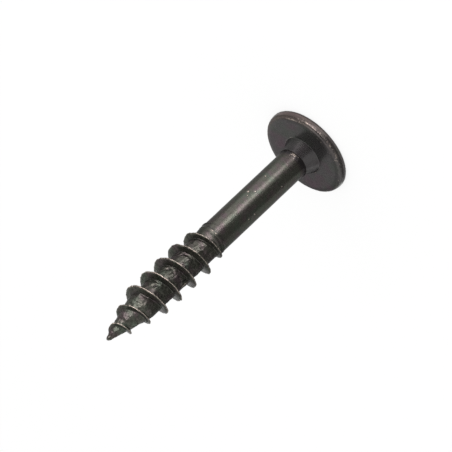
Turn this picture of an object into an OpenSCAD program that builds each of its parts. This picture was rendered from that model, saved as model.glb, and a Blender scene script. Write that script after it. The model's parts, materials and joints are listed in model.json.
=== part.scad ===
// Hinge screw: a wide, thin, flat head on a short flared neck, a plain shank,
// and a coarse wood thread that runs out on the shank and starts at a gimlet point.
// The screw stands on its head: the head's outer face lies on z = 0 and the point is up.

/* [Head] */
// Diameter of the flat disc head
head_d = 15.6; // [12:0.1:20]
// Thickness of the disc
head_thickness = 1.7; // [1.2:0.1:3]
// Radius of the edge round the bearing face
bearing_edge_r = 0.75; // [0.2:0.05:0.8]
// Radius of the edge round the outer face
outer_edge_r = 0.45; // [0.2:0.05:0.8]

/* [Drive recess] */
// Size of the six-lobe recess over its lobes
recess_over_lobes = 5.6; // [4.4:0.1:5.8]
// Size of the recess across the waists between the lobes
recess_over_waists = 3.95; // [3.2:0.05:4]
// Radius of each lobe's tip
lobe_tip_r = 0.45; // [0.3:0.05:0.6]
// Depth of the recess at its lobes
recess_depth = 2.1; // [1.2:0.1:2.4]
// Included angle of the drilled bottom of the recess
recess_bottom_angle = 130; // [110:5:150]

/* [Neck] */
// Diameter of the neck where it meets the bearing face
neck_base_d = 7; // [6.8:0.1:9]
// Height of the neck, from the bearing face to the plain shank
neck_height = 2.15; // [1.5:0.05:4]
// Radius of the hollow between neck and bearing face
neck_fillet_r = 0.1; // [0.1:0.05:0.6]

/* [Shank] */
// Diameter of the plain shank
shank_d = 5.2; // [4.8:0.1:6]
// Length of the plain shank, above the neck
shank_length = 20.75; // [12:0.05:40]
// Axial length of the chamfer between shank and threaded core
shoulder_length = 1.1; // [0.2:0.05:1.5]
// Radial swell of the shank's collar, next to the neck
collar_swell = 0.09; // [0.02:0.01:0.2]
// Length over which the shank swells to its collar
collar_length = 1.7; // [1:0.1:3]
// Radius of the collar's corner
collar_corner_r = 0.14; // [0.05:0.01:0.2]
// Radial depth of the fine groove between collar and neck
groove_depth = 0.08; // [0.02:0.01:0.15]

/* [Thread] */
// Length of the screw under its head, to the point
length_under_head = 47.8; // [44:0.1:90]
// Diameter over the thread crests
thread_d = 7; // [6.2:0.1:8]
// Diameter of the core between the threads
core_d = 4.75; // [3.6:0.05:4.9]
// Distance from one turn to the next
pitch = 3.45; // [2.6:0.05:5]
// Width of the flat on the crest
crest_width = 0.18; // [0.1:0.02:0.4]
// Axial width of the steep flank that faces the point
front_flank = 0.22; // [0.1:0.02:0.6]
// Axial width of the sloping flank that faces the head
rear_flank = 0.6; // [0.3:0.05:1]
// Axial length over which the thread fades out, on to the shank
run_out_length = 7.3; // [3:0.1:9]
// How far the fading thread climbs over the end of the plain shank
run_out_on_shank = 3.05; // [1:0.05:5]
// Where the thread passes the -Y side, as an angle about the axis
thread_phase = 276; // [0:1:360]

/* [Point] */
// Included angle of the gimlet point
point_angle = 29.5; // [22:0.5:40]
// Diameter of the blunt tip
tip_d = 0.8; // [0.4:0.05:1]
// Height of the rounding on the blunt tip
tip_rounding = 0.3; // [0.1:0.02:0.3]
// Axial length over which the thread grows from the tip to its full diameter
thread_lead_in = 8.4; // [6:0.1:14]

/* [Hidden] */

$fn = 96;
// Straight pieces in one turn of the thread, and points in each section of it
turn_steps = 48;
section_points = 5;
// Lowest ridge that keeps the section's points apart where the thread has faded
least_ridge = 0.02;
// Share of the flanks' full width that a faded ridge keeps
least_flank = 0.15;
// How far the recess is cut past the head's outer face
cut_past = 0.5;
// How deep the chamfer of the shank runs on below the core's surface
least_buried = 0.3;
arc_steps = 8;

head_r = head_d / 2;
shank_r = shank_d / 2;
core_r = core_d / 2;
crest_r = thread_d / 2;
tip_r = tip_d / 2;
collar_r = shank_r + collar_swell;
groove_r = shank_r - groove_depth;
neck_base_r = neck_base_d / 2;

// Heights along the axis, from the head's outer face to the tip
bearing_z = head_thickness;
neck_top_z = bearing_z + neck_height;
shank_end_z = neck_top_z + shank_length;
tip_z = bearing_z + length_under_head;
tip_ring_z = tip_z - tip_rounding;
point_apex_z = tip_ring_z + tip_r / tan(point_angle / 2);

// The helix starts just below the tip and ends inside the plain shank
helix_start_z = tip_ring_z - tip_rounding;
run_out_end_z = shank_end_z - run_out_on_shank;
run_out_start_z = run_out_end_z + run_out_length;
helix_steps = ceil((helix_start_z - run_out_end_z) / pitch * turn_steps);
core_end_z = helix_start_z - pitch * (helix_steps / turn_steps + 1) - crest_width - front_flank;

function clamp01(x) = max(0, min(1, x));

// Points of an arc about (x, y), from angle a to angle b
function arc(x, y, r, a, b) =
    [for (i = [0 : arc_steps]) let (t = a + (b - a) * i / arc_steps) [x + r * cos(t), y + r * sin(t)]];

// Radius of the core at height z: a cylinder that narrows to the gimlet point
function core_radius(z) = min(core_r, (point_apex_z - z) * tan(point_angle / 2));

// Radius of the thread crest at height z: it grows from the tip and fades on the shank
function crest_radius(z) =
    let (grow = clamp01((tip_ring_z - z) / thread_lead_in),
         fade = clamp01((z - run_out_end_z) / (run_out_start_z - run_out_end_z)),
         from_tip = tip_r + grow * (crest_r - tip_r),
         from_shank = core_r + fade * (crest_r - core_r))
    max(core_radius(z) + least_ridge, min(from_tip, from_shank));

// A right-hand helix: the crest's height after i steps down from the tip, and its angle
function crest_z(i) = helix_start_z - pitch * i / turn_steps;
function helix_angle(i) = thread_phase - 90 + 360 * (crest_z(i) - tip_z) / pitch;

// Share of the full flank width that the ridge has after i steps
function flank_share(i) =
    max(least_flank, (crest_radius(crest_z(i)) - core_radius(crest_z(i))) / (crest_r - core_r));

function polar(r, a, z) = [r * cos(a), r * sin(a), z];

// Heights of the section's points after i steps: front foot, two crest edges, rear foot, mid core
function front_foot_z(i) = crest_z(i) + crest_width / 2 + front_flank * flank_share(i);
function rear_foot_z(i) = crest_z(i) - crest_width / 2 - rear_flank * flank_share(i);
function mid_core_z(i) = (rear_foot_z(i) + front_foot_z(i + turn_steps)) / 2;

function foot_point(i) = let (z = front_foot_z(i)) polar(core_radius(z), helix_angle(i), z);

function section(i) =
    let (a = helix_angle(i), r = crest_radius(crest_z(i)), rear = rear_foot_z(i), mid = mid_core_z(i))
    [foot_point(i),
     polar(r, a, crest_z(i) + crest_width / 2),
     polar(r, a, crest_z(i) - crest_width / 2),
     polar(core_radius(rear), a, rear),
     polar(core_radius(mid), a, mid)];

// Revolved outline of head, neck, groove, collar, plain shank and the chamfer that runs into the core
module turned_blank() {
    slope = atan2(neck_base_r - groove_r, neck_height);
    fillet_x = neck_base_r + neck_fillet_r * tan(45 - slope / 2);
    buried = shank_r - core_r + least_buried;
    rotate_extrude()
        polygon(concat(
            [[0, 0]],
            arc(head_r - outer_edge_r, outer_edge_r, outer_edge_r, -90, 0),
            arc(head_r - bearing_edge_r, bearing_z - bearing_edge_r, bearing_edge_r, 0, 90),
            arc(fillet_x, bearing_z + neck_fillet_r, neck_fillet_r, 270, 180 + slope),
            [[groove_r, neck_top_z]],
            arc(collar_r - collar_corner_r, neck_top_z + collar_corner_r, collar_corner_r, -90, 0),
            [[shank_r, neck_top_z + collar_length],
             [shank_r, shank_end_z],
             [shank_r - buried, shank_end_z + shoulder_length * buried / (shank_r - core_r)],
             [0, shank_end_z + shoulder_length * buried / (shank_r - core_r)]]));
}

// Threaded core with its gimlet point, as one closed skin wound along the helix
module threaded_core() {
    last = helix_steps;
    extra = (last + 1) * section_points;
    tip_ring = extra + turn_steps;
    end_ring = tip_ring + turn_steps;
    apex = end_ring + turn_steps;
    end_centre = apex + 1;

    points = concat(
        [for (i = [0 : last]) each section(i)],
        [for (i = [last + 1 : last + turn_steps]) foot_point(i)],
        [for (k = [0 : turn_steps - 1]) polar(tip_r, helix_angle(k), tip_ring_z)],
        [for (k = [0 : turn_steps - 1]) polar(core_r, helix_angle(last + k), core_end_z)],
        [[0, 0, tip_z], [0, 0, core_end_z]]);

    // Index of the front foot after i steps, and of point j of that section
    function foot(i) = i <= last ? i * section_points : extra + i - last - 1;
    function at(i, j) = j == section_points ? foot(i + turn_steps) : i * section_points + j;
    function ring(first, k) = first + k % turn_steps;
    function quad(a, b, c, d) = [[a, b, c], [a, c, d]];

    winding = [for (i = [0 : last - 1]) for (j = [0 : section_points - 1])
        each quad(at(i, j), at(i, j + 1), at(i + 1, j + 1), at(i + 1, j))];
    tip_skirt = [for (k = [0 : turn_steps - 2])
        each quad(ring(tip_ring, k), foot(k), foot(k + 1), ring(tip_ring, k + 1))];
    // The last panel at the tip also meets the first section of the ridge
    tip_seam = concat(
        [[ring(tip_ring, turn_steps - 1), foot(turn_steps - 1), ring(tip_ring, 0)],
         [ring(tip_ring, 0), foot(turn_steps - 1), at(0, 0)]],
        [for (j = [0 : section_points - 1]) [at(0, j), foot(turn_steps - 1), at(0, j + 1)]]);
    tip_cap = [for (k = [0 : turn_steps - 1])
        [apex, ring(tip_ring, k), ring(tip_ring, k + 1)]];
    // The first panel at the inner end also meets the last section of the ridge
    end_seam = concat(
        [for (j = [0 : section_points - 1]) [at(last, j), at(last, j + 1), foot(last + 1)]],
        quad(foot(last + turn_steps), ring(end_ring, 0), ring(end_ring, 1), foot(last + 1)));
    end_skirt = [for (k = [1 : turn_steps - 1])
        each quad(foot(last + k), ring(end_ring, k), ring(end_ring, k + 1), foot(last + k + 1))];
    end_cap = [for (k = [0 : turn_steps - 1])
        [end_centre, ring(end_ring, k + 1), ring(end_ring, k)]];

    polyhedron(points, concat(winding, tip_skirt, tip_seam, tip_cap, end_seam, end_skirt, end_cap));
}

// Outline of the six-lobe recess: round lobe tips joined by hollow arcs that are tangent to them
module lobe_outline() {
    lobe_x = recess_over_lobes / 2 - lobe_tip_r;
    waist_x = recess_over_waists / 2;
    hollow_r = (lobe_x * lobe_x + waist_x * waist_x - lobe_tip_r * lobe_tip_r
        - 2 * lobe_x * waist_x * cos(30)) / (2 * (lobe_tip_r - waist_x + lobe_x * cos(30)));
    hollow_x = (waist_x + hollow_r) * cos(30);
    hollow_y = (waist_x + hollow_r) * sin(30);
    // Where the two arcs touch, as an angle about the lobe's centre
    touch = atan2(hollow_y, hollow_x - lobe_x);
    one_lobe = concat(
        arc(lobe_x, 0, lobe_tip_r, -touch, touch),
        arc(hollow_x, hollow_y, hollow_r, touch - 180, -120 - touch));
    open_lobe = [for (i = [0 : len(one_lobe) - 2]) if (i != arc_steps) one_lobe[i]];
    polygon([for (k = [0 : 5]) for (p = open_lobe)
        [p.x * cos(60 * k) - p.y * sin(60 * k), p.x * sin(60 * k) + p.y * cos(60 * k)]]);
}

module drive_recess() {
    cone_height = recess_over_waists / 2 / tan(recess_bottom_angle / 2);
    translate([0, 0, -cut_past])
        linear_extrude(recess_depth + cut_past)
            lobe_outline();
    translate([0, 0, recess_depth])
        cylinder(h = cone_height, r1 = recess_over_waists / 2, r2 = 0);
}

module hinge_screw() {
    color([0.17, 0.16, 0.16])
        difference() {
            union() {
                turned_blank();
                threaded_core();
            }
            drive_recess();
        }
}

hinge_screw();
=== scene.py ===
# %% [markdown]
# # A blackened hinge screw
#
# The screw stands on its wide flat head with its point up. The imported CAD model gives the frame: its
# size, its place and its body. This lesson skins that frame with one finer surface, finishes it as
# blackened steel with bright wear on the thread, and lights it as a small white studio would.

# %% Load the frame
import json
import math
import bmesh
import bpy
import numpy as np
from mathutils import Matrix, Vector


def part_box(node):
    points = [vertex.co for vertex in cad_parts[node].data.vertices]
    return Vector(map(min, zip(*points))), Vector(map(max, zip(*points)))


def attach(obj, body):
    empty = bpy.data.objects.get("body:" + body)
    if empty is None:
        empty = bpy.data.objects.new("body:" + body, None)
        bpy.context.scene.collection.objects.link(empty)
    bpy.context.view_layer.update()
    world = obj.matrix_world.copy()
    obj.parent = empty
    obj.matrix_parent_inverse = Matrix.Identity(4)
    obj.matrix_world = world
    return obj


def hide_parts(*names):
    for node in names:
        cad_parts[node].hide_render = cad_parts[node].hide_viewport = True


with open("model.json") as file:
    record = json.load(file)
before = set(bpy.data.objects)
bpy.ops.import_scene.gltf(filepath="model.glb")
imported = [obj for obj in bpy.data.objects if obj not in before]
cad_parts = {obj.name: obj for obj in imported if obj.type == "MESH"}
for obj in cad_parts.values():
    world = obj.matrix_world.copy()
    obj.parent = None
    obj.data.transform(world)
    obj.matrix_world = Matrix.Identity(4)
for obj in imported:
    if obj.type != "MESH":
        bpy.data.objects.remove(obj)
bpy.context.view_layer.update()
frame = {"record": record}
MM = 0.001

node_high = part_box("hinge_screw")[1]
head_r = node_high.x / MM
tip_z = node_high.z / MM
mounts = {mount["name"]: mount for mount in frame["record"]["mounts"]}
bearing_z = mounts["head_bearing"]["pos_m"][2] / MM
thread_r = mounts["wood_thread"]["dims"]["r_mm"]
recess_over_lobes_r = mounts["drive_recess"]["dims"]["r_mm"]
recess_depth = mounts["drive_recess"]["dims"]["length_mm"]
neck_base_r = mounts["neck_in_hinge_hole"]["dims"]["r_mm"]
neck_height = mounts["neck_in_hinge_hole"]["dims"]["length_mm"]
print(f"screw {tip_z:.1f} mm tall on a head {2 * head_r:.1f} mm across")

# %% [markdown]
# ## Sizes that the frame does not name
#
# A hinge screw is headed cold from wire, and its thread is rolled between two dies. The dies leave a
# core a little thinner than the wire, a flat crest, a steep flank that faces the point and a sloping
# flank that faces the head. All sizes here are in millimetres, as in the CAD model, and one factor
# turns them to metres when the mesh is made. Heights are measured from the head's outer face.

# %% Sizes of the shank, the thread and the point
# the plain shank, its shoulder, and the low lip that the dies pushed up beside the shoulder
shank_r = 2.6
shank_end_z = 25.0
shoulder_length = 1.1
lip_z = 24.43
lip_height = 0.078
lip_width = 0.20
neck_top_z = bearing_z + neck_height

# the thread, which starts to fade at one height and would be level with the core at the other
core_r = 2.375
pitch = 3.45
crest_width = 0.15
front_flank = 0.22
rear_flank = 0.6
run_out_start_z = 28.85
run_out_end_z = 21.55
thread_phase = math.radians(276)

# the gimlet point: a cone with a blunt end, on which the thread grows to its full height
tip_r = 0.4
tip_ring_z = 49.2
half_point_angle = math.radians(29.5 / 2)
point_apex_z = tip_ring_z + tip_r / math.tan(half_point_angle)
thread_lead_in = 8.4
helix_start_z = 48.9
print(f"thread {2 * thread_r:.1f} mm over the crests, {pitch} mm from turn to turn")

# %% [markdown]
# ## Hammered and rolled unevenness
#
# No rolled screw is as smooth as its drawing: the steel keeps soft waves from the dies and small
# knocks from the barrel it was blackened in. Blender's own noise works in a material, but these waves
# have to be in the shape, so that they bend the reflections from every side. A sum of plane waves in
# random directions makes a smooth noise of one chosen size, worked out for all points at once. Three
# small curves, a step, a bell and a rounded corner, shape everything else.

# %% A smooth noise in space, and three curves
chance = np.random.default_rng(43)


def waves(x, y, z, size, count=22):
    """Sum of `count` sine waves, each sin(k . p + phase), where k points in a random direction and has a
    wavelength near `size` mm. The sum is scaled so that it mostly stays between -1 and 1."""
    direction = chance.normal(size=(count, 3))
    direction /= np.linalg.norm(direction, axis=1, keepdims=True)
    number = 2 * np.pi / (size * chance.uniform(0.7, 1.4, count))
    phase = chance.uniform(0, 2 * np.pi, count)
    total = np.zeros(np.broadcast(x, y, z).shape)
    for (kx, ky, kz), k, start in zip(direction, number, phase):
        total += np.sin(k * (kx * x + ky * y + kz * z) + start)
    return total / math.sqrt(count)


def smooth_step(low, high, value):
    """0 below `low`, 1 above `high`, and the cubic 3t^2 - 2t^3 between them."""
    t = np.clip((value - low) / (high - low), 0, 1)
    return t * t * (3 - 2 * t)


def bell(value, centre, reach, power=2):
    """1 at `centre`, fading on both sides as e ^ -(|value - centre| / reach) ^ power. A power of 4 gives
    a flatter top and steeper sides."""
    return np.exp(-np.abs((value - centre) / reach) ** power)


def soft_max(a, b, blend):
    """The larger of a and b, with a rounded corner `blend` mm wide where they cross."""
    return 0.5 * (a + b + np.sqrt((a - b) ** 2 + blend ** 2))


print(f"a bell has fallen to {bell(1.0, 0.0, 1.0):.2f} at its reach")

# %% [markdown]
# ## The wound part: a helix that is also a grid
#
# The thread is the hard part. A ridge set on a cylinder would need a join all along both its feet.
# Instead, the whole surface between the tip and the shank is wound as one strip along the helix: each
# row follows the thread, so the crest and both flanks fall exactly on rows of points. The strip's rear
# edge meets its own front edge one turn later. At both ends a wedge of rows fades the helix back to a
# plain ring, and there the ridge has died away.

# %% Shares of one section, from one front foot to the next
columns = 180
turns = 8
front_shares = [0, 0.06, 0.25, 0.60]
crest_shares = [0, 0.15, 0.50, 0.85]
rear_shares = [0, 0.20, 0.50, 0.80, 0.95]
core_shares = [0, 0.015, 0.045, 0.09, 0.14, 0.195, 0.25, 0.31, 0.37, 0.43,
               0.49, 0.55, 0.61, 0.67, 0.73, 0.79, 0.845, 0.895, 0.94, 0.975]
section_shares = [np.array(part) for part in (front_shares, crest_shares, rear_shares, core_shares)]
section_rows = sum(len(part) for part in section_shares)
print(f"{section_rows} rows to a section, {turns} turns of {columns} columns")

# %% [markdown]
# ## How this thread departs from an even helix
#
# A rolled thread is even in its middle, and less so where the blank runs out of steel. Here each turn
# leans a little, and near the point the crest wanders up and down and grows in steps. The three tables
# hold what the photograph shows at a few heights, and straight lines join their values.

# %% Where the crest wanders, grows unevenly and is rubbed
# height, and how far the crest strays towards the point
crest_wander = np.array([(35.4, 0.0), (36.6, 0.05), (37.5, -0.08), (39.3, -0.22), (40.1, 0.14),
                         (41.0, -0.10), (42.7, -0.30), (43.8, 0.0), (44.9, 0.0), (45.5, -0.08),
                         (46.0, -0.18), (46.9, -0.27), (47.3, -0.28), (47.9, 0.0)])
# height, and how much higher than an even thread the crest stands there
crest_growth = np.array([(28.4, 0.0), (29.9, 0.05), (31.6, 0.0), (33.4, 0.06), (35.1, 0.0), (36.8, 0.0),
                         (38.6, -0.08), (40.2, 0.03), (40.6, 0.0), (41.3, -0.24), (41.9, -0.30),
                         (42.3, -0.18), (43.9, 0.12), (45.8, 0.36), (47.5, 0.20), (49.2, 0.0)])
# height, and the share of the crest's wear
crest_wear = np.array([(26.0, 0.84), (29.1, 0.86), (32.6, 0.90), (35.0, 1.0), (49.0, 1.0)])
# how far each turn leans, and a shift by which it rises less in front than it falls behind
turn_lean = 0.14
lean_balance = 0.3
front_side = -math.pi / 2
helix_start_angle = thread_phase + front_side + 2 * math.pi * (helix_start_z - tip_z) / pitch
print(f"turns lean by {turn_lean} mm, and the crest strays by up to {abs(crest_wander[:, 1]).max()} mm")

# %% Radius of the core and of the crest
cone_blend = 0.15
least_ridge = 0.02
least_flank_share = 0.15


def core_surface(z):
    """Radius without any thread: the shank, a low lip, a chamfer, the core, and the cone of the point."""
    chamfer = (z - shank_end_z) / shoulder_length
    cylinder = shank_r - (shank_r - core_r) * np.clip(chamfer, 0, 1)
    cylinder = cylinder + lip_height * bell(z, lip_z, lip_width)
    cone = (point_apex_z - z) * math.tan(half_point_angle)
    return -soft_max(-cylinder, -cone, cone_blend)


def under_ridge(z):
    """Radius on which the ridge stands: the core, or the cone where that is thinner."""
    return np.minimum(core_r, (point_apex_z - z) * math.tan(half_point_angle))


def crest_radius(z):
    """Radius of the crest: it grows from the tip over the lead-in and fades out on to the shank."""
    grow = np.clip((tip_ring_z - z) / thread_lead_in, 0, 1)
    fade = np.clip((z - run_out_end_z) / (run_out_start_z - run_out_end_z), 0, 1)
    from_tip = tip_r + grow * (thread_r - tip_r)
    from_shank = core_r + fade * (thread_r - core_r)
    uneven_growth = np.interp(z, *crest_growth.T)
    return np.maximum(under_ridge(z) + least_ridge, np.minimum(from_tip, from_shank) + uneven_growth)


def flank_share(z):
    """Share of the flanks' full width that the ridge has, from its height over the core."""
    return np.maximum(least_flank_share, (crest_radius(z) - under_ridge(z)) / (thread_r - core_r))


middle_z = 0.5 * (run_out_start_z + tip_ring_z - thread_lead_in)
print(f"core {core_surface(middle_z):.2f} mm and crest {crest_radius(middle_z):.2f} mm in the middle")

# %% Heights of the crest, of its feet and of all rows


def crest_height(step):
    """Height of the crest after so many steps down the helix. Each turn leans a little, by the cosine of
    the angle from the front, and the crest wanders near the point."""
    even = helix_start_z - pitch * step / columns
    from_front = helix_start_angle - 2 * np.pi * step / columns - front_side
    return even + turn_lean * (np.cos(from_front) - lean_balance) + np.interp(even, *crest_wander.T)


def front_foot(step):
    """Height at which the steep flank meets the core, on the side of the point."""
    z = crest_height(step)
    return z + crest_width / 2 + front_flank * flank_share(z)


def rear_foot(step):
    """Height at which the sloping flank meets the core, on the side of the head."""
    z = crest_height(step)
    return z - crest_width / 2 - rear_flank * flank_share(z)


def section_heights(step):
    """Heights of all rows of the sections at `step`: fixed shares of each flank, crest and core, which
    stand close together at the feet, so that the corner there stays crisp."""
    z = crest_height(step)
    knots = [front_foot(step), z + crest_width / 2, z - crest_width / 2, rear_foot(step),
             front_foot(step + columns)]
    parts = []
    for upper, lower, share in zip(knots[:-1], knots[1:], section_shares):
        parts.append(upper[..., None] + (lower - upper)[..., None] * share)
    return np.concatenate(parts, axis=-1)


step = np.arange(columns)[:, None] + columns * np.arange(turns)[None, :]
strip_z = section_heights(step).reshape(columns, turns * section_rows)
crest_of_row = np.repeat(crest_height(step), section_rows, axis=1)
print(f"strip of {strip_z.shape[1]} rows by {columns} columns")

# %% Wedges that lead the helix back to a plain ring
first = section_heights(np.array(0.0))
top_ring_z = float(first[0])
lead = (first[0] - first) / (first[0] - front_foot(np.array(float(columns))))
edge = front_foot(np.arange(columns))[:, None]
top_wedge_z = top_ring_z + (edge - top_ring_z) * lead

last_step = columns * turns
last = section_heights(np.array(float(last_step)))
bottom_ring_z = float(front_foot(np.array(float(last_step + columns))))
trail = (last[0] - last) / (last[0] - bottom_ring_z)
edge = front_foot(last_step + np.arange(columns))[:, None]
bottom_wedge_z = edge + (bottom_ring_z - edge) * trail
print(f"wound from {top_ring_z:.2f} down to {bottom_ring_z:.2f} mm")

# %% [markdown]
# ## Knocks, chips and the ragged crest
#
# Each mark is a small oval dent with a low rim where the steel was pushed aside. One has a negative
# depth, and is a raised lap. A mark is placed by its height and by its angle from the front, positive
# towards +X. The crest is ragged because the steel does not quite fill the die there: its radius
# wanders along the helix, and a few bites are missing.

# %% Dents in the core and the shank
# height, angle from the front, half length, half width, lean from the axis in degrees, depth
dents = [
    (38.2, 21, 0.45, 0.20, 40, 0.16),
    (34.4, 34, 0.55, 0.18, 48, 0.18),
    (30.9, 38, 0.55, 0.17, 45, 0.18),
    (28.0, 3, 0.32, 0.20, 60, 0.12),
    (34.60, -46, 0.50, 0.18, -41, 0.22),
    (33.60, -46, 0.85, 0.15, 20, 0.18),
    (33.85, -62, 0.80, 0.24, 0, -0.12),
    (38.0, -60, 0.30, 0.20, 30, 0.10),
    (24.9, 20, 0.30, 0.22, 20, 0.03),
    (14.7, 38, 0.24, 0.19, 30, 0.07),
    (15.4, 29, 0.15, 0.11, 60, 0.05),
    (10.5, 36, 0.20, 0.16, 10, 0.06),
    (14.0, 19, 0.16, 0.10, 75, 0.04),
    (18.0, -41, 0.20, 0.17, 35, 0.07),
    (16.6, -43, 0.20, 0.17, 20, 0.07),
    (9.7, -36, 0.24, 0.14, 55, 0.07),
    (24.3, -41, 0.20, 0.12, 30, 0.02),
    (36.0, 140, 0.50, 0.16, 35, 0.10),
    (32.6, -150, 0.45, 0.15, 50, 0.10),
    (40.6, -120, 0.40, 0.15, 40, 0.06),
    (19.0, 160, 0.20, 0.15, 25, 0.05),
    (9.2, -115, 0.22, 0.15, 50, 0.05),
    (12.8, 110, 0.20, 0.16, 15, 0.05),
]
# height, angle from the front, half length along the helix, depth
chips = [
    (40.8, 68, 0.24, 0.40),
    (35.6, -92, 0.35, 0.16),
    (32.2, -96, 0.30, 0.12),
    (37.9, 150, 0.25, 0.14),
    (33.5, 100, 0.20, 0.10),
]
print(f"{len(dents)} dents and {len(chips)} chips")

# %% Depth of the dents


def front_angle(degrees):
    """Angle about +Z, in radians, of a place that lies so many degrees from the -Y side towards +X."""
    return math.radians(degrees - 90)


def around(angle, centre):
    """Signed difference of two angles, wrapped to lie between -pi and pi."""
    return (angle - centre + np.pi) % (2 * np.pi) - np.pi


def dented(angle, z, radius):
    """Depth of all dents, an oval Gaussian pit less a wider and lower one that leaves the rim, and how far
    the pits of the plain shank are rubbed; on the raised laps the same share paints a highlight."""
    depth = np.zeros(np.broadcast(angle, z, radius).shape)
    rub_and_lap_highlight = np.zeros_like(depth)
    for dent_z, degrees, length, width, lean, deep in dents:
        along = z - dent_z
        across = around(angle, front_angle(degrees)) * radius
        tilt = math.radians(lean)
        u = (along * math.cos(tilt) + across * math.sin(tilt)) / length
        v = (across * math.cos(tilt) - along * math.sin(tilt)) / width
        q = u * u + v * v
        depth += deep * (1.35 * np.exp(-q) - 0.35 * np.exp(-q / 2.6))
        if dent_z < run_out_end_z or deep < 0:
            rub_and_lap_highlight += np.exp(-(q / 1.2) ** 2)
    return depth, rub_and_lap_highlight


first_z, first_degrees = dents[0][:2]
first_depth, _ = dented(front_angle(first_degrees), first_z, core_r)
print(f"the first dent is {first_depth:.2f} mm deep in its middle")

# %% The ragged crest
column_angle = (helix_start_angle - 2 * np.pi * np.arange(columns) / columns)[:, None]
# depth and length of its waves, in mm
crest_waves = [(0.030, 1.1), (0.022, 0.42)]
crest_overfill = 0.09


def ragged_crest(crest_z, angle):
    """Radius of the crest with its wander along the helix and its chips. Where the ridge is high, the
    rolled steel stands a little over its nominal radius and is at its most ragged."""
    smooth = crest_radius(crest_z)
    x, y = smooth * np.cos(angle), smooth * np.sin(angle)
    height_share = (smooth - core_r) / (thread_r - core_r)
    ragged_share = 0.35 + 0.65 * smooth_step(0.1, 0.9, height_share)
    rough = sum(depth * waves(x, y, crest_z, length) for depth, length in crest_waves)
    top = smooth + crest_overfill * smooth_step(0.05, 0.4, height_share) + rough * ragged_share
    for chip_z, degrees, length, deep in chips:
        away = np.hypot(around(angle, front_angle(degrees)) * thread_r, crest_z - chip_z)
        top -= deep * bell(away, 0, length, 4)
    return top


crest_z = crest_height(step)
crest_top = ragged_crest(crest_z, np.broadcast_to(column_angle, crest_z.shape))
print(f"crest between {crest_top.min():.2f} and {crest_top.max():.2f} mm from the axis")

# %% [markdown]
# ## The ridge on the core
#
# The ridge could be swept as a solid and joined to the core, but a join leaves thin slivers. As a
# height field the two need no join: at each point the surface is whichever stands higher, the core, the
# ridge of this turn or the ridge of the next, with a small fillet where they cross.

# %% The wound surface
crest_rounding = 0.05
foot_blend = 0.025
fade_steps = columns / 4


def ridge(z, crest_z, top):
    """Radius of the ridge alone: its crest at `top`, and straight flanks that run on down below the
    core. Both crest corners are rounded by the soft minimum of crest and flank."""
    share = flank_share(crest_z)
    height = np.maximum(top - np.minimum(core_r, core_surface(crest_z)), least_ridge)
    beyond_front = (z - crest_z - crest_width / 2) / (front_flank * share)
    beyond_rear = (crest_z - crest_width / 2 - z) / (rear_flank * share)
    flank = top - height * np.maximum(beyond_front, beyond_rear)
    rounding = crest_rounding * share
    return rounding / 4 - soft_max(-top, -flank, rounding)


top_of_row = np.repeat(crest_top, section_rows, axis=1)
next_top = np.repeat(np.roll(crest_top, -1, axis=1), section_rows, axis=1)
present = smooth_step(0, fade_steps, step) * smooth_step(0, fade_steps, last_step - step)
present = np.repeat(present, section_rows, axis=1)

bare = core_surface(strip_z)
own = ridge(strip_z, crest_of_row, top_of_row)
following = ridge(strip_z, crest_of_row - pitch, next_top)
strip_r = bare + present * (soft_max(bare, np.maximum(own, following), foot_blend) - bare)

bottom_ring = np.full((columns, 1), bottom_ring_z)
wound_z = np.concatenate([top_wedge_z, strip_z, bottom_wedge_z, bottom_ring], axis=1)
wound_r = np.concatenate([core_surface(top_wedge_z), strip_r,
                          core_surface(bottom_wedge_z), core_surface(bottom_ring)], axis=1)
print(f"{wound_z.size} points wound")

# %% Wear on the crest, and painted shade along its front foot
wear_reach = 0.55 * crest_width
shade_reach = 0.12
crest_rise = np.clip((top_of_row - bare) / (thread_r - core_r), 0, 1)
strip_wear = bell(strip_z, crest_of_row + 0.02, wear_reach, 4)
strip_wear *= np.interp(crest_of_row, *crest_wear.T) * smooth_step(0.02, 0.15, crest_rise) * present

# painted shade: the crease at the thread's foot on the side of the point is darkened in the colour
foot_gap = np.where(strip_z > crest_of_row, own, following) - bare
foot_rise = np.where(strip_z > crest_of_row, top_of_row, next_top) - bare
strip_painted_shade = 0.9 * bell(foot_gap, 0, shade_reach) * present * smooth_step(0.0, 0.15, foot_rise)
print(f"wear on {(strip_wear > 0.5).mean():.1%} and soot on {(strip_painted_shade > 0.5).mean():.1%} of the strip")

# %% [markdown]
# ## The turned part: shank, collar, neck and head
#
# Below the thread the screw is plain: it was squeezed in a round die, so one outline turned about the
# axis gives it. Where the shank meets the neck the two dies met, which left a slight swell and a fine
# groove under it. The neck flares into the flat bearing face with a small hollow. The rim was never
# cut: it bulged out as the head was struck, so three arcs of different radius follow it round. The
# outline is a chain of straight runs and arcs, and each of its points becomes one row round the screw.

# %% Sizes of the collar, the neck and the rim
swell_start_z = neck_top_z + 1.7
collar_swell = 0.09
collar_corner_r = 0.14
groove_r = 2.54
groove_z = neck_top_z - 0.06
groove_wall_share = 0.015
neck_fillet_r = 0.1
outer_edge_r = 0.45
outer_face_z = 0.0
# arcs of the rim from the bearing face down: radius, and two angles, of which 90 faces the point and
# 0 faces outwards
rim_arcs = [(2.60, 90, 75), (0.60, 75, 18), (2.90, 18, 3)]
rim_flat = 0.03
collar_r = shank_r + collar_swell
print(f"collar {2 * collar_r:.2f} mm and groove {2 * groove_r:.2f} mm across")

# %% Straight runs, arcs and the rows of the shank


def run(start, end, count):
    """Points of a straight run, evenly spaced, without its last point."""
    share = (np.arange(count) / count)[:, None]
    return np.array(start) + share * (np.array(end) - np.array(start))


def bend(centre, radius, start, end, count):
    """Points of an arc about `centre`, from one angle in degrees to another, without its last point."""
    angle = np.radians(start + (end - start) * np.arange(count) / count)
    return np.array(centre) + radius * np.column_stack([np.cos(angle), np.sin(angle)])


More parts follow.
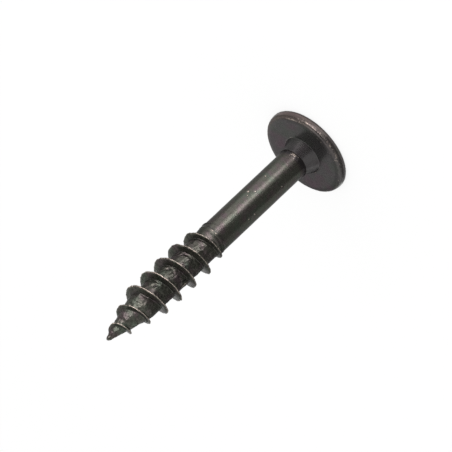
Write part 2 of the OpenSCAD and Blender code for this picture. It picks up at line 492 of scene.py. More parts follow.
# more rows where there is a dent
rows_of_dent = (-0.24, -0.14, -0.06, 0, 0.06, 0.14, 0.24)
shank_rows = np.linspace(bottom_ring_z, swell_start_z, 40)[1:]
dent_rows = [dent[0] + offset for dent in dents for offset in rows_of_dent]
dent_rows = [z for z in dent_rows if swell_start_z < z < bottom_ring_z - 0.1]
shank_rows = np.unique(np.round(np.concatenate([shank_rows, dent_rows]), 2))[::-1]
swell_share = np.arange(6) / 6
swell_z = swell_start_z + (neck_top_z + collar_corner_r - swell_start_z) * swell_share
swell = np.column_stack([shank_r + collar_swell * smooth_step(0, 1, swell_share), swell_z])
print(f"{len(shank_rows)} rows along the plain shank")

# %% The neck, the rim and the whole outline
neck_slope = math.degrees(math.atan2(neck_base_r - groove_r, neck_height))
fillet_x = neck_base_r + neck_fillet_r * math.tan(math.radians(45 - neck_slope / 2))
fillet_end = math.radians(180 + neck_slope)
fillet_top = (fillet_x + neck_fillet_r * math.cos(fillet_end),
              bearing_z + neck_fillet_r + neck_fillet_r * math.sin(fillet_end))
neck_start = (1 - groove_wall_share) * np.array([groove_r, groove_z])
neck_start += groove_wall_share * np.array(fillet_top)

rim_parts = []
rim_end = np.array([head_r, outer_edge_r + rim_flat])
for arc_r, start, end in reversed(rim_arcs):
    centre = rim_end - arc_r * np.array([math.cos(math.radians(end)), math.sin(math.radians(end))])
    rim_parts.insert(0, bend(centre, arc_r, start, end, 7))
    rim_end = rim_parts[0][0]
rim = np.concatenate(rim_parts)
rim[:, 1] += bearing_z - rim[0, 1]
face_end_r = rim[0, 0]
print(f"bearing face flat out to {2 * face_end_r:.1f} mm across")

outline = np.concatenate([
    np.column_stack([np.full(len(shank_rows), shank_r), shank_rows])[:-1],
    swell,
    bend((collar_r - collar_corner_r, neck_top_z + collar_corner_r), collar_corner_r, 0, -90, 5),
    run((collar_r - collar_corner_r, neck_top_z), (groove_r, groove_z), 2),
    run((groove_r, groove_z), neck_start, 1),
    run(neck_start, fillet_top, 9),
    bend((fillet_x, bearing_z + neck_fillet_r), neck_fillet_r, 180 + neck_slope, 270, 6),
    run((fillet_x, bearing_z), (face_end_r, bearing_z), 14),
    rim,
    run((head_r, rim[-1, 1] - 0.05), (head_r, outer_edge_r), 1),
    bend((head_r - outer_edge_r, outer_edge_r), outer_edge_r, 0, -90, 7),
])
turned_r = np.broadcast_to(outline[:, 0], (columns, len(outline)))
turned_z = np.broadcast_to(outline[:, 1], (columns, len(outline)))
print(f"outline of {len(outline)} points, from {outline[0, 1]:.2f} mm down to the outer face")

# %% [markdown]
# ## The drive recess
#
# A six-lobe punch leaves six round lobes joined by hollow arcs, and a shallow cone at the bottom. In
# polar form the outline is one formula: a ray from the centre meets the lobe's circle near the lobe's
# middle, and the hollow's circle beyond the place where the two circles touch.

# %% Outline of the recess
recess_over_waists_r = 3.95 / 2
lobe_tip_r = 0.45
recess_cone_angle = math.radians(130)
mouth_r = 0.1
half_lobe_angle = math.pi / 6

lobe_x = recess_over_lobes_r - lobe_tip_r
hollow_top = lobe_x ** 2 + recess_over_waists_r ** 2 - lobe_tip_r ** 2
hollow_top -= 2 * lobe_x * recess_over_waists_r * math.cos(half_lobe_angle)
hollow_r = hollow_top / (2 * (lobe_tip_r - recess_over_waists_r + lobe_x * math.cos(half_lobe_angle)))
hollow_x = recess_over_waists_r + hollow_r


def recess_edge(angle):
    """Distance from the axis to the recess wall: x cos a + sqrt(r^2 - x^2 sin^2 a) on a lobe, and
    h cos b - sqrt(R^2 - h^2 sin^2 b) in a hollow, where a and b are measured from their middles."""
    off_lobe = np.abs(around(6 * angle, 0)) / 6
    off_hollow = half_lobe_angle - off_lobe
    on_lobe = np.sqrt(np.maximum(lobe_tip_r ** 2 - (lobe_x * np.sin(off_lobe)) ** 2, 0))
    on_lobe += lobe_x * np.cos(off_lobe)
    in_hollow = hollow_x * np.cos(off_hollow)
    in_hollow -= np.sqrt(np.maximum(hollow_r ** 2 - (hollow_x * np.sin(off_hollow)) ** 2, 0))
    touch = math.atan2(hollow_x * math.sin(half_lobe_angle), hollow_x * math.cos(half_lobe_angle) - lobe_x)
    touch_off_lobe = math.atan2(lobe_tip_r * math.sin(touch), lobe_x + lobe_tip_r * math.cos(touch))
    return np.where(off_lobe < touch_off_lobe, on_lobe, in_hollow)


wall = recess_edge(column_angle)
print(f"recess {2 * wall.max():.2f} mm over the lobes and {2 * wall.min():.2f} mm over the waists")

# %% Rows of the outer face and of the recess
cone_start_r = 0.97 * recess_over_waists_r
cone_depth = cone_start_r / math.tan(recess_cone_angle / 2)
face_share = np.arange(4) / 4
mouth_angle = np.radians(90 * np.arange(3) / 3)
wall_share = np.arange(3) / 3
ledge_share = np.arange(3) / 3
cone_share = np.append(np.arange(3) / 3, 1)

recess_r = np.concatenate([
    (head_r - outer_edge_r) + (wall + mouth_r - head_r + outer_edge_r) * face_share,
    wall + mouth_r - mouth_r * np.sin(mouth_angle),
    np.broadcast_to(wall, (columns, len(wall_share))),
    wall + (cone_start_r - wall) * ledge_share,
    np.broadcast_to(cone_start_r * (1 - cone_share), (columns, len(cone_share)))], axis=1)
recess_z = np.concatenate([
    np.full(len(face_share), outer_face_z),
    mouth_r * (1 - np.cos(mouth_angle)),
    mouth_r + (recess_depth - mouth_r) * wall_share,
    np.full(len(ledge_share), recess_depth),
    recess_depth + cone_depth * cone_share])
recess_z = np.broadcast_to(recess_z, (columns, len(recess_z)))
print(f"recess {recess_depth + cone_depth:.2f} mm deep in the middle of its cone")

# %% [markdown]
# ## One closed skin
#
# All rows, from the blunt tip down to the middle of the recess, now stand side by side in one grid of
# columns and rows. The only special place is the seam: where the last column meets the first, a wound
# row joins the row of the next turn, a whole section further on. Merging the points that fall on each
# other closes the tip, the recess and the thin ends of the wedges.

# %% All rows in one grid
tip_rows = 7
tip_share = np.sin(0.5 * np.pi * np.arange(1, tip_rows) / tip_rows)
tip_cap_z = np.concatenate([[tip_z], tip_z - (tip_z - top_ring_z) * (1 - np.sqrt(1 - tip_share ** 2))])
tip_cap_r = core_surface(np.array(top_ring_z)) * np.concatenate([[0], tip_share])
tip_cap_z = np.broadcast_to(tip_cap_z, (columns, tip_rows))
tip_cap_r = np.broadcast_to(tip_cap_r, (columns, tip_rows))

all_r = np.concatenate([tip_cap_r, wound_r, turned_r, recess_r], axis=1)
all_z = np.concatenate([tip_cap_z, wound_z, turned_z, recess_z], axis=1)
rows = all_z.shape[1]
first_wound = tip_rows
last_wound = tip_rows + wound_z.shape[1] - 1
first_recess = last_wound + 1 + len(outline)
first_strip = first_wound + top_wedge_z.shape[1]
strip = slice(first_strip, first_strip + strip_z.shape[1])
print(f"{columns} columns by {rows} rows")

# %% [markdown]
# ## Where the skin is uneven
#
# The rolled thread is the roughest part, and the drawn shank and the struck bearing face are almost
# smooth. So the same two noises, one soft and one fine, are added with a depth that follows the place.
# They leave out the outer face, the recess and the very tip, so that the screw still stands flat and
# keeps its length.

# %% Unevenness and dents
angle = np.broadcast_to(column_angle, all_r.shape)
x, y = all_r * np.cos(angle), all_r * np.sin(angle)
thread_begins_z = (24.8, 27.2)
cone_begins_z = (41.5, 44)
above_recess = np.arange(rows) < first_recess
threaded = smooth_step(*thread_begins_z, all_z)
on_cone = smooth_step(*cone_begins_z, all_z)
on_head = all_z < neck_top_z
at_rim = on_head * smooth_step(head_r - 0.9, head_r - 0.3, all_r)
at_collar = smooth_step(swell_start_z + 0.2, neck_top_z + 0.6, all_z) * ~on_head
movable = smooth_step(0.0, 0.5, tip_z - all_z) * above_recess

soft = waves(x, y, all_z, 1.3)
fine = waves(x, y, all_z, 0.55)
soft_depth = 0.003 + 0.024 * threaded + 0.005 * on_cone
fine_depth = 0.0015 + 0.019 * threaded + 0.004 * on_cone + 0.012 * at_rim + 0.010 * at_collar
pushed, rub_and_lap_highlight = dented(angle, all_z, np.maximum(all_r, 1.0))
pushed = np.where(on_head, 0, pushed)

highest_overfill = 0.17
# near its end the point gets thinner than its cone, by up to this share
tip_thinning = 0.15
thinned_z = (48.0, tip_ring_z)
skin_r = all_r + movable * (soft_depth * soft + fine_depth * fine - pushed)
skin_r = np.minimum(skin_r, np.where(on_head, head_r, thread_r + highest_overfill))
skin_r = skin_r * (1 - tip_thinning * smooth_step(*thinned_z, all_z))
print(f"deepest dent {pushed.max():.2f} mm, widest crest {2 * skin_r[:, strip].max():.2f} mm across")

# %% [markdown]
# ## Where the black layer is rubbed through, and where highlights are painted
#
# A screw that has lain loose among others is rubbed where it stands out: on the crests, on the edge of
# the bearing face, on the side of the rim and on the collar. The wear could be found from the curvature
# of the mesh, but then every edge would be equally bright all round. Here each rubbed place is a bell
# in height or radius, and for most of them another bell or a table tells the sides apart. The same pale
# colour is also a painted highlight: on the side of the rim, on the lit side of the lip, in a streak on
# the neck and on a raised lap, and it paints the foot of the neck lighter over the dark line of its crease.

# %% Wear of the edges, and painted highlights
from_front = around(angle, front_side)
side_degrees = np.degrees(from_front)
# degrees from the front, and how strongly the edge of the bearing face is rubbed there
face_edge_rub = np.array([(-75, 0.5), (-45, 0.35), (-36, 0.45), (-28, 0.60), (-18, 0.58), (-12, 0.62),
                          (-2, 0.68), (4, 0.68), (12, 0.64), (22, 0.4), (34, 0.4), (42, 0.68),
                          (54, 0.72), (62, 0.35), (75, 0.4)])
# the same for the side of the rim, where the pale colour is partly wear and partly a painted highlight
rim_side_rub_and_highlight = np.array([(-45, 0.55), (-30, 0.74), (-12, 0.70), (0, 0.68), (6, 0.66), (12, 0.58),
                         (18, 0.66), (28, 0.84), (36, 0.66), (44, 0.4)])
# the worn line on the edge of the bearing face lies inside the rim; at the front it swings further in,
# where it is painted light on the face as it begins to curve
face_edge_z = 1.3
line_inset = 0.52
line_swing = 0.35
face_edge_r = head_r - line_inset - line_swing * bell(side_degrees, 0, 22)
rim_width = 0.5
rim_side_z = 1.17
collar_z = neck_top_z + 0.9
streak_z = 3.67
# beyond this angle from the front the foot of the neck is painted lighter, over the dark line of its crease
foot_degrees = 60
worn_tip_z = (48.7, 49.3)

face_edge = on_head * (all_z > face_edge_z) * bell(all_r, face_edge_r, 0.22)
rim_side = on_head * (all_r > head_r - rim_width) * bell(all_z, rim_side_z, 0.42)
collar_corner = ~on_head * bell(all_z, neck_top_z + 0.25, 0.25)
collar = ~on_head * bell(all_z, collar_z, 0.6, 4) * bell(side_degrees, 20, 18, 4)
neck_foot = on_head * bell(all_r, neck_base_r + 0.06, 0.10) * (np.abs(side_degrees) > foot_degrees)
# a painted highlight: a light streak near the top of the neck, on the lit side
neck_streak = on_head * bell(all_z, streak_z, 0.09) * bell(side_degrees, 11, 7, 4)
# a painted highlight on the lit side of the lip
lip = bell(all_z, lip_z, 0.13) * bell(side_degrees, 16, 22, 4)

# real wear and painted highlights are summed into one attribute
all_wear_and_highlight = face_edge * np.interp(side_degrees, *face_edge_rub.T)
all_wear_and_highlight += rim_side * np.interp(side_degrees, *rim_side_rub_and_highlight.T)
all_wear_and_highlight += 0.6 * collar_corner + 0.70 * collar + 0.68 * neck_foot + 0.95 * neck_streak + 0.92 * lip
all_wear_and_highlight += 0.9 * rub_and_lap_highlight * ~on_head + 0.6 * smooth_step(*worn_tip_z, all_z)
all_wear_and_highlight[:, strip] += strip_wear
print(f"the layer is rubbed on {(all_wear_and_highlight > 0.5).mean():.1%} of the points")

# %% [markdown]
# ## Where shade is painted into the colour
#
# Shade is painted into the colour where nothing rubs and the steel would lie in shade: along the thread's
# foot on the side of the point, in the deeper dents, round the collar, on the neck, on top of the rim at
# the front and in the lines beside the lip. These places are painted a shade darker, so that the thread
# stands out from the core.

# %% Painted shade where nothing rubs
on_neck = (all_z > bearing_z + 0.02) * (all_z < neck_top_z) * above_recess
above_lip = bell(all_z, lip_z + 0.60, 0.09)
below_lip = bell(all_z, lip_z - 0.31, 0.10)
rim_top = on_head * bell(all_z, 1.5, 0.15) * bell(side_degrees, 2, 12)

# painted shade round the collar, which dims the highlight there
all_painted_shade = bell(all_z, neck_top_z + 0.55, 0.7) * ~on_head
all_painted_shade[:, strip] += strip_painted_shade
# painted shade in the deeper dents of the thread
all_painted_shade += 0.9 * smooth_step(0.06, 0.14, pushed) * threaded
# painted shade on the neck, strongest a little towards +X of the front, which dims its mirror image there
all_painted_shade += on_neck * (0.2 + 0.8 * bell(side_degrees, 13, 16))
# painted shade on top of the rim at the front and in the lines beside the lip
all_painted_shade += 0.7 * rim_top + 0.5 * above_lip + 0.9 * below_lip
print(f"soot lies on {(all_painted_shade > 0.5).mean():.1%} of the points")

# %% [markdown]
# ## Faint colours of the layer
#
# A thin black layer shows faint colours, as oil does on water. On the flat bearing face they are soft
# purple blooms some millimetres wide, and the rim and the collar, where the steel flowed most, are
# browner. Both are kept as attributes of the mesh, because they belong to places and not to a pattern.

# %% Purple blooms on the bearing face, and brown edges
# towards +X, towards the front, half size, strength
blooms = [
    (4.3, -2.1, 1.5, 1.0),
    (4.3, 3.4, 1.1, 0.9),
    (-4.3, -4.1, 1.2, 0.8),
    (-5.7, -1.5, 1.3, 1.0),
    (-4.4, 2.6, 1.0, 0.5),
    (1.5, -6.0, 1.2, 0.5),
]
bloom_raggedness = 0.5
all_bloom = np.zeros_like(all_r)
for bloom_x, forward, size, strength in blooms:
    away = np.hypot(x - bloom_x, -y - forward) + bloom_raggedness * waves(x, y, all_z, 2.2)
    all_bloom += on_head * strength * bell(away, 0, size)
all_brown = (0.2 + 0.2 * np.sin(from_front)) * at_rim + 0.3 * at_collar
print(f"{len(blooms)} blooms, brownest at {all_brown.max():.2f}")

# %% [markdown]
# ## The grid becomes a mesh
#
# Nothing on this screw is quite straight: the head was struck a little off the axis, and the point is
# bent the same way. Both are a sideways shift that depends on the height alone. Then each cell of the
# grid becomes a face. In the last column the cells at the end of the helix shrink to triangles.

# %% Points and faces
head_off_axis = 0.11
point_bend = 0.12
bend_begins_z = 45.5
shift = np.where(above_recess, 1 - smooth_step(bearing_z, neck_top_z, all_z), 1)
shift = head_off_axis * shift + point_bend * smooth_step(bend_begins_z, tip_z, all_z)
points = np.stack([skin_r * np.cos(angle) - shift, skin_r * np.sin(angle), all_z], axis=-1) * MM

index = np.arange(columns * rows).reshape(columns, rows)
upper = np.arange(rows - 1)
wound_faces = (upper >= first_wound) & (upper < last_wound)
seam_upper = np.where(wound_faces, np.minimum(upper + section_rows, last_wound), upper)
seam_lower = np.where(wound_faces, np.minimum(upper + 1 + section_rows, last_wound), upper + 1)
right_upper = np.vstack([index[1:, :-1], index[0, seam_upper]])
right_lower = np.vstack([index[1:, 1:], index[0, seam_lower]])
quads = np.stack([index[:, :-1], right_upper, right_lower, index[:, 1:]], axis=-1).reshape(-1, 4)
three_sided = quads[:, 1] == quads[:, 2]
faces = quads[~three_sided].tolist() + quads[three_sided][:, [0, 1, 3]].tolist()

screw_mesh = bpy.data.meshes.new("screw_skin")
screw_mesh.from_pydata(points.reshape(-1, 3), [], faces)
print(f"{len(faces)} faces, of which {three_sided.sum()} have three sides")

# %% Attributes for the finish, and the closed mesh
# in metres, so small that only points which fall on each other are merged
weld_distance = 2e-7


def add_object(name, data):
    """Put a new object into the scene."""
    added = bpy.data.objects.new(name, data)
    bpy.context.collection.objects.link(added)
    return added


for name, values in (("wear", all_wear_and_highlight), ("soot", all_painted_shade), ("bloom", all_bloom), ("brown", all_brown)):
    attribute = screw_mesh.attributes.new(name, "FLOAT", "POINT")
    attribute.data.foreach_set("value", np.clip(values, 0, 1).astype(np.float32).ravel())

welded = bmesh.new()
welded.from_mesh(screw_mesh)
bmesh.ops.remove_doubles(welded, verts=welded.verts, dist=weld_distance)
bmesh.ops.recalc_face_normals(welded, faces=welded.faces)
open_edges = sum(not edge.is_manifold for edge in welded.edges)
volume = welded.calc_volume(signed=True)
welded.to_mesh(screw_mesh)
welded.free()
screw_mesh.polygons.foreach_set("use_smooth", np.ones(len(screw_mesh.polygons), dtype=bool))
screw_mesh.update()

screw = add_object("blackened_screw", screw_mesh)
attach(screw, "root")
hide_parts("hinge_screw")
triangles = sum(len(face.vertices) - 2 for face in screw_mesh.polygons)
print(f"screw: {triangles} triangles, {open_edges} open edges, {volume / MM ** 3:.0f} cubic mm")

# %% [markdown]
# ## Blackened steel
#
# The finish is bare steel turned black by a thin baked or plated layer. It is still a metal to the eye:
# it has hardly any white sheen, and shows a dark mirror image of the room. The layer is uneven, so the
# grey drifts towards pink and green over a few millimetres, and it is rubbed through on the crest of
# the thread and on sharp edges, where pale steel shows. Shade is painted into the colour in creases,
# dents, round the collar and on the neck, and pale steel is painted as highlights on the rim, the lip
# and the neck. The material is built from the ground colour outwards, in the order in which the layer
# was made and worn, with the painted shade and highlights laid in among its layers.

# %% Colours and one helper for nodes
# sockets of a Mix node that mixes colours, which share their names with other sockets
mix_a, mix_b, mix_result = 6, 7, 2


def linear(hex_colour):
    """Linear RGBA of an sRGB hex colour: ((c + 0.055) / 1.055) ^ 2.4 above a small linear toe."""
    channels = [int(hex_colour[i:i + 2], 16) / 255 for i in (1, 3, 5)]
    bright = [c / 12.92 if c <= 0.04045 else ((c + 0.055) / 1.055) ** 2.4 for c in channels]
    return (*bright, 1.0)


def add_node(tree, kind, inputs=None, **settings):
    """Add one node. A socket given as an input is linked, and any other value is set on the input."""
    node = tree.nodes.new(kind)
    for name, value in settings.items():
        setattr(node, name, value)
    for name, value in (inputs or {}).items():
        if isinstance(value, bpy.types.NodeSocket):
            tree.links.new(value, node.inputs[name])
        else:
            node.inputs[name].default_value = value
    return node


def new_material(name):
    """An empty node material with its output node."""
    material = bpy.data.materials.new(name)
    material.use_nodes = True
    tree = material.node_tree
    tree.nodes.clear()
    return material, tree, tree.nodes.new("ShaderNodeOutputMaterial")


print(f"the middle grey #808080 is {linear('#808080')[0]:.3f} in linear light")

# %% The black layer and its slow drift of colour
black_grey = linear("#4b4b44")
black_head = linear("#4d4b4b")
tint_size_mm = 1.8

steel, tree, output = new_material("blackened_steel_worn_on_edges")
place = add_node(tree, "ShaderNodeTexCoord").outputs["Object"]
tint = add_node(tree, "ShaderNodeTexNoise",
                {"Vector": place, "Scale": 1 / (tint_size_mm * MM), "Detail": 3.0}).outputs["Fac"]
tint_far = add_node(tree, "ShaderNodeTexNoise",
                    {"Vector": place, "Scale": 0.6 / (tint_size_mm * MM), "Detail": 2.0,
                     "Distortion": 0.6}).outputs["Fac"]

# the head was struck smooth and is evener in colour than the shank
height = add_node(tree, "ShaderNodeSeparateXYZ", {"Vector": place}).outputs["Z"]
head_share = add_node(tree, "ShaderNodeMapRange", {"Value": height, "From Min": (neck_top_z + 1.5) * MM,
                                                   "From Max": neck_top_z * MM}).outputs["Result"]
colour = add_node(tree, "ShaderNodeMix", {"Factor": head_share, mix_a: black_grey, mix_b: black_head},
                  data_type="RGBA").outputs[mix_result]

# pink, then green: noise, where in the noise it begins and is full, its reach on shank and head, colour
drifts = [(tint, 0.48, 0.66, 0.6, 0.0, linear("#53444a")),
          (tint_far, 0.50, 0.68, 0.8, 0.4, linear("#474f45"))]
for noise, begins, full, reach_on_shank, reach_on_head, tone in drifts:
    share = add_node(tree, "ShaderNodeMapRange", {"Value": noise, "From Min": begins, "From Max": full})
    reach = add_node(tree, "ShaderNodeMapRange", {"Value": head_share, "To Min": reach_on_shank,
                                                  "To Max": reach_on_head})
    amount = add_node(tree, "ShaderNodeMath", {0: share.outputs["Result"], 1: reach.outputs["Result"]},
                      operation="MULTIPLY").outputs[0]
    colour = add_node(tree, "ShaderNodeMix", {"Factor": amount, mix_a: colour, mix_b: tone},
                      data_type="RGBA").outputs[mix_result]
print(f"the grey drifts over {tint_size_mm} mm")

# %% Blooms, brown edges, mottle and painted shade
black_purple = linear("#54444c")
black_brown = linear("#5c4840")
# the colour towards which the painted shade darkens the layer
painted_shade_colour = linear("#322f30")
# the real mottle is as fine as the crystals of the layer, and is drawn coarser here so that it shows
mottle_size_mm = 0.45
mottle_reach_shank = 0.25
mottle_reach_thread = 0.8

marks = {name: add_node(tree, "ShaderNodeAttribute", attribute_name=name).outputs["Fac"]
         for name in ("bloom", "brown", "soot", "wear")}
for name, tone in (("bloom", black_purple), ("brown", black_brown)):
    colour = add_node(tree, "ShaderNodeMix", {"Factor": marks[name], mix_a: colour, mix_b: tone},
                      data_type="RGBA").outputs[mix_result]

mottle = add_node(tree, "ShaderNodeTexNoise",
                  {"Vector": place, "Scale": 1 / (mottle_size_mm * MM), "Detail": 3.0}).outputs["Fac"]
mottle_shade = add_node(tree, "ShaderNodeMapRange", {"Value": mottle, "From Min": 0.35, "From Max": 0.65,
                                                     "To Min": 0.62, "To Max": 1.38}).outputs["Result"]
mottle_reach = add_node(tree, "ShaderNodeMapRange",
                        {"Value": height, "From Min": (shank_end_z - 1) * MM,
                         "From Max": (shank_end_z + 2) * MM, "To Min": mottle_reach_shank,
                         "To Max": mottle_reach_thread}).outputs["Result"]
layer = add_node(tree, "ShaderNodeMix", {"Factor": mottle_reach, mix_a: colour, mix_b: mottle_shade},
                 data_type="RGBA", blend_type="MULTIPLY").outputs[mix_result]
# painted shade: the layer darkens towards its colour where the attribute is high
shaded_layer = add_node(tree, "ShaderNodeMix", {"Factor": marks["soot"], mix_a: layer, mix_b: painted_shade_colour},
                 data_type="RGBA").outputs[mix_result]
print(f"the mottle is {mottle_size_mm} mm wide")

# %% Bare steel for wear and painted highlights, and the grain that blurs the mirror image
# the pale colour of bare steel, shown where the layer is worn and where a highlight is painted
bare_steel_for_wear_and_highlight = linear("#ab9f94")
rub_size_mm = 0.35
# the grain of a baked layer is some hundredths of a millimetre, and is drawn ten times as coarse
grain_size_mm = 0.30
grain_depth_mm = 0.02

rub_noise = add_node(tree, "ShaderNodeTexNoise",
                     {"Vector": place, "Scale": 1 / (rub_size_mm * MM), "Detail": 2.0}).outputs["Fac"]
wear_and_highlight_sum = add_node(tree, "ShaderNodeMath", {0: marks["wear"], 1: rub_noise},
                    operation="ADD").outputs[0]
rubbed_and_lit_share = add_node(tree, "ShaderNodeMapRange", {"Value": wear_and_highlight_sum, "From Min": 1.15,
                                                     "From Max": 1.45}).outputs["Result"]
worn_and_lit = add_node(tree, "ShaderNodeMix", {"Factor": rubbed_and_lit_share, mix_a: shaded_layer, mix_b: bare_steel_for_wear_and_highlight},
                data_type="RGBA").outputs[mix_result]

grain = add_node(tree, "ShaderNodeTexNoise",
                 {"Vector": place, "Scale": 1 / (grain_size_mm * MM), "Detail": 4.0}).outputs["Fac"]
roughness = add_node(tree, "ShaderNodeMapRange",
                     {"Value": grain, "To Min": 0.20, "To Max": 0.36}).outputs["Result"]
bump_share = add_node(tree, "ShaderNodeMapRange",
                      {"Value": head_share, "To Min": 0.7, "To Max": 0.1}).outputs["Result"]
bump = add_node(tree, "ShaderNodeBump", {"Height": grain, "Strength": bump_share,
                                         "Distance": grain_depth_mm * MM}).outputs["Normal"]
# the layer is part metal and part oxide, and its mirror image stays dim even at a flat angle
surface = add_node(tree, "ShaderNodeBsdfPrincipled",
                   {"Base Color": worn_and_lit, "Metallic": 0.75, "Roughness": roughness, "Normal": bump,
                    "Specular Tint": (0.6, 0.6, 0.6, 1)})
tree.links.new(surface.outputs["BSDF"], output.inputs["Surface"])
screw_mesh.materials.append(steel)
print(f"finish: {steel.name}")

# %% [markdown]
# ## The white studio
#
# A dark metal shows what stands round it. The screw stands on a white floor under a white sky, and both
# are plain white to the camera and in the metal. The floor still takes a part of its light from the
# lamp and the sky, so that it keeps the soft shadow of the screw.

# %% Floor and sky
floor_glow = 0.82
floor_half_size = 4.0
sky_light = 0.95


def seen_or_mirrored(tree):
    """A socket that is 1 for what the camera sees, in a mirror or through glass too, and else 0."""
    path = add_node(tree, "ShaderNodeLightPath")
    seen = add_node(tree, "ShaderNodeMath",
                    {0: path.outputs["Is Camera Ray"], 1: path.outputs["Is Glossy Ray"]},
                    operation="MAXIMUM").outputs[0]
    return add_node(tree, "ShaderNodeMath", {0: seen, 1: path.outputs["Is Transmission Ray"]},
                    operation="MAXIMUM").outputs[0]


def add_to_stage(name, corners, faces, material):
    """Make a thin panel from its corners in metres, and put it into the scene."""
    panel_mesh = bpy.data.meshes.new(name)
    panel_mesh.from_pydata(corners, [], faces)
    panel_mesh.materials.append(material)
    panel = add_object(name, panel_mesh)
    return panel


paper, tree, output = new_material("white_paper_floor")
glow_share = add_node(tree, "ShaderNodeMath", {0: seen_or_mirrored(tree), 1: floor_glow},
                      operation="MULTIPLY").outputs[0]
glow = add_node(tree, "ShaderNodeEmission", {"Color": (1, 1, 1, 1), "Strength": 1.0}).outputs[0]
matt = add_node(tree, "ShaderNodeBsdfDiffuse", {"Color": linear("#fafafa")}).outputs[0]
mixed = add_node(tree, "ShaderNodeMixShader", {0: glow_share, 1: matt, 2: glow}).outputs[0]
tree.links.new(mixed, output.inputs["Surface"])

floor_corners = [(floor_half_size * side_x, floor_half_size * side_y, 0)
                 for side_x, side_y in ((-1, -1), (1, -1), (1, 1), (-1, 1))]
add_to_stage("paper_floor", floor_corners, [(0, 1, 2, 3)], paper)

world = bpy.data.worlds.new("white_sky")
bpy.context.scene.world = world
world.use_nodes = True
tree = world.node_tree
tree.nodes.clear()
strength = add_node(tree, "ShaderNodeMapRange",
                    {"Value": seen_or_mirrored(tree), "To Min": sky_light, "To Max": 1.0}).outputs["Result"]
sky = add_node(tree, "ShaderNodeBackground", {"Color": (1, 1, 1, 1), "Strength": strength}).outputs[0]
add_node(tree, "ShaderNodeOutputWorld", {"Surface": sky})
print("floor and sky are white")

# %% [markdown]
# ## Cards that only reflections see
#
# In an all-white room a dark screw would be one flat grey. A photographer lays dark and bright cards
# round it, and each draws a band on the steel. A flat card on the floor is seen in the upright shank
# and thread: the shank mirrors the floor near the screw, and the thread the floor further out. A card
# that stands far away is seen in the rim and the neck, which face partly upwards. The cards are hidden
# from the camera and from matt surfaces and throw no shadow, so they draw their bands and nothing else.

# %% Helpers for the cards
card_height_mm = 0.4
sky_distance_mm = 900


def card_light(name, brightness, colour):
    """An even glow of one colour, such as a lit sheet of paper has."""
    material, tree, output = new_material(name)
    glow = add_node(tree, "ShaderNodeEmission", {"Color": linear(colour), "Strength": brightness})
    tree.links.new(glow.outputs[0], output.inputs["Surface"])
    return material


def hidden_card(name, points_mm, faces, material):
    """Add a card that only reflections see."""
    card = add_to_stage(name, (points_mm * MM).tolist(), faces, material)
    for ray in ("camera", "diffuse", "shadow", "transmission"):
        setattr(card, f"visible_{ray}", False)


def floor_card(name, brightness, from_angle, to_angle, near, far, colour="#ffffff"):
    """A card on the floor between two angles from the front and two distances from the axis, in mm.
    Its corners are (r sin a, -r cos a), a ring sector of a few straight pieces."""
    pieces = 12
    sweep = np.radians(np.linspace(from_angle, to_angle, pieces + 1))
    level = np.full(pieces + 1, card_height_mm)
    inner = np.column_stack([near * np.sin(sweep), -near * np.cos(sweep), level])
    outer = np.column_stack([far * np.sin(sweep), -far * np.cos(sweep), level])
    faces = [(i, i + 1, pieces + 2 + i, pieces + 1 + i) for i in range(pieces)]
    hidden_card(name, np.vstack([inner, outer]), faces, card_light(name, brightness, colour))


def standing_card(name, brightness, from_angle, to_angle, from_rise, to_rise, colour="#ffffff"):
    """A curved card far round the screw, between two angles from the front and two elevations, all in
    degrees: a patch of a sphere, whose points are d (cos e sin a, -cos e cos a, sin e)."""
    across, up = 16, 8
    a, e = np.meshgrid(np.radians(np.linspace(from_angle, to_angle, across + 1)),
                       np.radians(np.linspace(from_rise, to_rise, up + 1)))
    patch = np.stack([np.cos(e) * np.sin(a), -np.cos(e) * np.cos(a), np.sin(e)], axis=-1)
    number = np.arange((across + 1) * (up + 1)).reshape(up + 1, across + 1)
    faces = np.stack([number[:-1, :-1], number[:-1, 1:], number[1:, 1:], number[1:, :-1]], axis=-1)
    hidden_card(name, sky_distance_mm * patch.reshape(-1, 3), faces.reshape(-1, 4).tolist(),
                card_light(name, brightness, colour))


print(f"floor cards lie {card_height_mm} mm up, and standing cards {sky_distance_mm} mm away")

# %% The cards
window_colour = "#fdf4f9"
pale_colour = "#fbf7fb"
# in mm from the axis: just outside the head, as far as the shank mirrors the floor, and as far as the
# thread does
beside_head = 8.5
shank_reach = 45
thread_reach = 170

# brightness, two angles from the front, two distances from the axis in mm, colour
# dark cards on the left, for the dark side of the shank and of the thread
floor_card("dark_card_near", 0.14, -76, -2, beside_head, shank_reach)
floor_card("dark_card_far", 0.12, -125, 9, shank_reach, thread_reach)
floor_card("dim_side_card_far", 0.3, -165, -125, shank_reach, thread_reach)
# narrow cards close round the head, for the side of the rim and for the collar
floor_card("rim_card", 2.0, -4, 46, 7.9, 9.6, window_colour)
floor_card("rim_side_card", 1.5, 46, 84, 7.9, 9.6, window_colour)
floor_card("rim_far_side_card", 1.8, -150, -84, 7.9, 9.6)
floor_card("collar_card", 1.0, -2, 62, 9.6, 13)
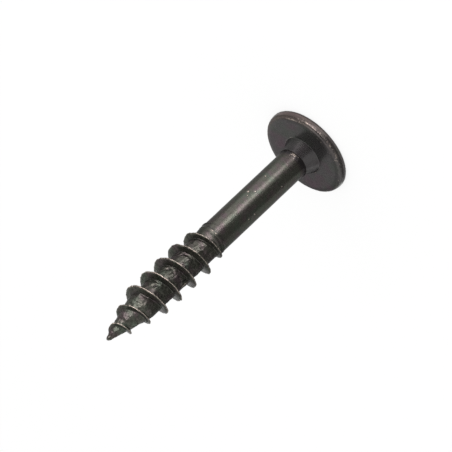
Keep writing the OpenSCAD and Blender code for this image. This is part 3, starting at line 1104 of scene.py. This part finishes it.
# bright cards on the right, for the long highlight, and paler ones beside them
floor_card("bright_card_near", 6.0, 13, 32, 13, 38, pale_colour)
floor_card("bright_card_middle", 9.4, 11, 34, 38, 49, pale_colour)
floor_card("pale_card_near", 2.0, 32, 80, 13, 38, pale_colour)
floor_card("pale_card_middle", 2.4, 34, 80, 38, 49, pale_colour)
floor_card("grey_card_near", 0.65, 88, 160, beside_head, shank_reach)
floor_card("grey_side_card_near", 0.6, -160, -80, beside_head, shank_reach)
floor_card("bright_card_far", 3.0, 25, 38, 49, 64, pale_colour)
floor_card("bright_card_farther", 4.0, 27, 40, 64, thread_reach, pale_colour)
floor_card("pale_card_far", 1.1, 38, 68, 49, thread_reach, pale_colour)
floor_card("grey_card_far", 0.4, 84, 150, shank_reach, thread_reach)
floor_card("bright_card_beyond", 5.0, 12, 72, thread_reach, 800, window_colour)
# brightness, two angles from the front, two elevations, colour
# standing cards for the rim, the neck and the flanks
standing_card("window_card", 8.5, -2, 48, -1, 6.5, window_colour)
standing_card("window_side_card", 4.0, 48, 64, -1, 7.5, window_colour)
standing_card("dim_window_side_card", 0.5, 64, 130, -1, 20)
standing_card("dim_upper_card", 0.5, 17, 58, 14, 34)
standing_card("dim_side_card", 0.6, -100, -12, -1, 14)
standing_card("side_card", 1.6, -130, -100, -1, 7)
standing_card("camera_card", 0.05, -17, 17, 14, 45)
standing_card("upper_back_card", 0.55, 140, 220, 34, 75)
standing_card("side_back_card", 0.35, -178, -125, 6, 34)
print("cards in place")

# %% [markdown]
# ## One soft lamp
#
# The sky alone would leave hardly a shadow. A soft lamp from above gives the floor a faint one and adds
# little to the steel, so the colours still render about as they are written.

# %% A soft lamp from above
lamp_direction = (0.25, -0.35, 1.0)
lamp_distance = 0.6
lamp_size = 0.35
lamp_power = 0.6

light = bpy.data.lights.new("top_lamp", "AREA")
light.shape = "SQUARE"
light.size = lamp_size
light.energy = lamp_power
lamp = add_object("top_lamp", light)
away = Vector(lamp_direction).normalized()
lamp.location = away * lamp_distance
lamp.rotation_euler = away.to_track_quat("Z", "Y").to_euler()
lamp.visible_camera = False
print(f"a soft lamp of {lamp_size} m hangs {lamp_distance} m away")

# %% [markdown]
# ## The camera
#
# The camera looks down at the standing screw from its front, and is turned so that the axis runs up to
# the right with the head at the top right, as in the photograph. Its angle, distance and focal length
# were found by fitting the CAD outline to the outline in the photograph.

# %% Camera
image_size_px = 452
sensor_mm = 36.0
axis_to_view = math.radians(61.62)
axis_in_picture = math.radians(43.33)
scale_px_per_mm = 6.3266
camera_distance_mm = 460.0
look_point = Vector((0.057, 0, 20.785)) * MM

to_camera = Vector((0, -math.sin(axis_to_view), math.cos(axis_to_view)))
axis_seen = Vector((0, math.cos(axis_to_view), math.sin(axis_to_view)))
side = Vector((1, 0, 0))
right = -math.cos(axis_in_picture) * axis_seen - math.sin(axis_in_picture) * side
up = -math.sin(axis_in_picture) * axis_seen + math.cos(axis_in_picture) * side

camera_data = bpy.data.cameras.new("photo_camera")
camera_data.sensor_width = sensor_mm
camera_data.lens = scale_px_per_mm * camera_distance_mm / image_size_px * sensor_mm
camera_data.clip_start = 0.01
camera_data.clip_end = 20
camera = add_object("photo_camera", camera_data)
turn = Matrix((right, up, to_camera)).transposed().to_4x4()
camera.matrix_world = Matrix.Translation(look_point + to_camera * camera_distance_mm * MM) @ turn
bpy.context.scene.camera = camera
print(f"camera: {camera_data.lens:.0f} mm lens, {camera_distance_mm:.0f} mm away")

# %% [markdown]
# ## The end
#
# The colours are shown as they are, with no film look.

# %% View settings
bpy.context.scene.view_settings.view_transform = "Standard"
